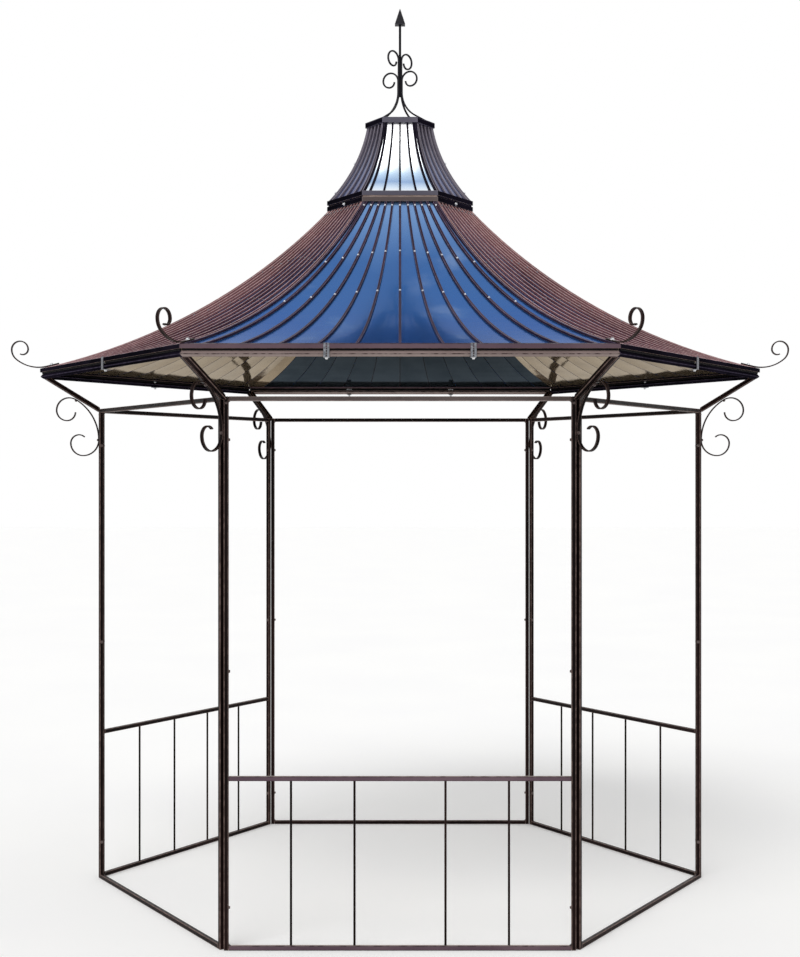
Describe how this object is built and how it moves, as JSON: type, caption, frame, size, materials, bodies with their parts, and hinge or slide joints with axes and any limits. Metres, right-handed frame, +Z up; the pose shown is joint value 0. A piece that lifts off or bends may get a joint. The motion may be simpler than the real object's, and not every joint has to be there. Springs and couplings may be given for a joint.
{
  "type": "garden pavilion",
  "caption": "Hexagonal open garden pavilion of steel tube with a flared ribbed sheet roof, a flared lantern, wrought scrolls and a spear finial.",
  "frame": {"origin": "centre of the hexagonal footprint, on the ground", "axes": "+Z up, front railing bay towards -Y, +X to the right seen from the front, with a corner of the hexagon on each side along X"},
  "size_m": [3.8882, 3.3754, 4.345],
  "materials": {
    "frame_paint": "dark bronze brown patinated paint, half gloss",
    "rib_paint": "reddish bronze brown paint, half gloss",
    "roof_sheet": "glossy blue sheet above, greige underside",
    "lantern_sheet": "glossy pale blue sheet",
    "zinc": "galvanised"
  },
  "bodies": {
    "root": {"frame_front": "frame_paint", "frame_front_right": "frame_paint", "frame_back_right": "frame_paint", "frame_back": "frame_paint", "frame_back_left": "frame_paint", "frame_front_left": "frame_paint", "railing_front": "frame_paint", "railing_back_right": "frame_paint", "railing_back_left": "frame_paint", "corner_scroll_front_right": "frame_paint", "corner_scroll_right": "frame_paint", "corner_scroll_back_right": "frame_paint", "corner_scroll_back_left": "frame_paint", "corner_scroll_left": "frame_paint", "corner_scroll_front_left": "frame_paint", "roof_sheet_front": "roof_sheet", "roof_sheet_front_right": "roof_sheet", "roof_sheet_back_right": "roof_sheet", "roof_sheet_back": "roof_sheet", "roof_sheet_back_left": "roof_sheet", "roof_sheet_front_left": "roof_sheet", "roof_ribs_front": "rib_paint", "roof_ribs_front_right": "rib_paint", "roof_ribs_back_right": "rib_paint", "roof_ribs_back": "rib_paint", "roof_ribs_back_left": "rib_paint", "roof_ribs_front_left": "rib_paint", "eave_scroll_front_right": "frame_paint", "eave_scroll_right": "frame_paint", "eave_scroll_back_right": "frame_paint", "eave_scroll_back_left": "frame_paint", "eave_scroll_left": "frame_paint", "eave_scroll_front_left": "frame_paint", "eave_clips": "zinc", "roof_collar": "rib_paint", "lantern_base_ring": "rib_paint", "lantern_sheets": "lantern_sheet", "lantern_ribs": "rib_paint", "lantern_top_ring": "rib_paint", "lantern_cap": "rib_paint", "finial_lower_bars": "frame_paint", "finial_upper_bars": "frame_paint", "finial_spear": "frame_paint"}
  },
  "joints": []
}
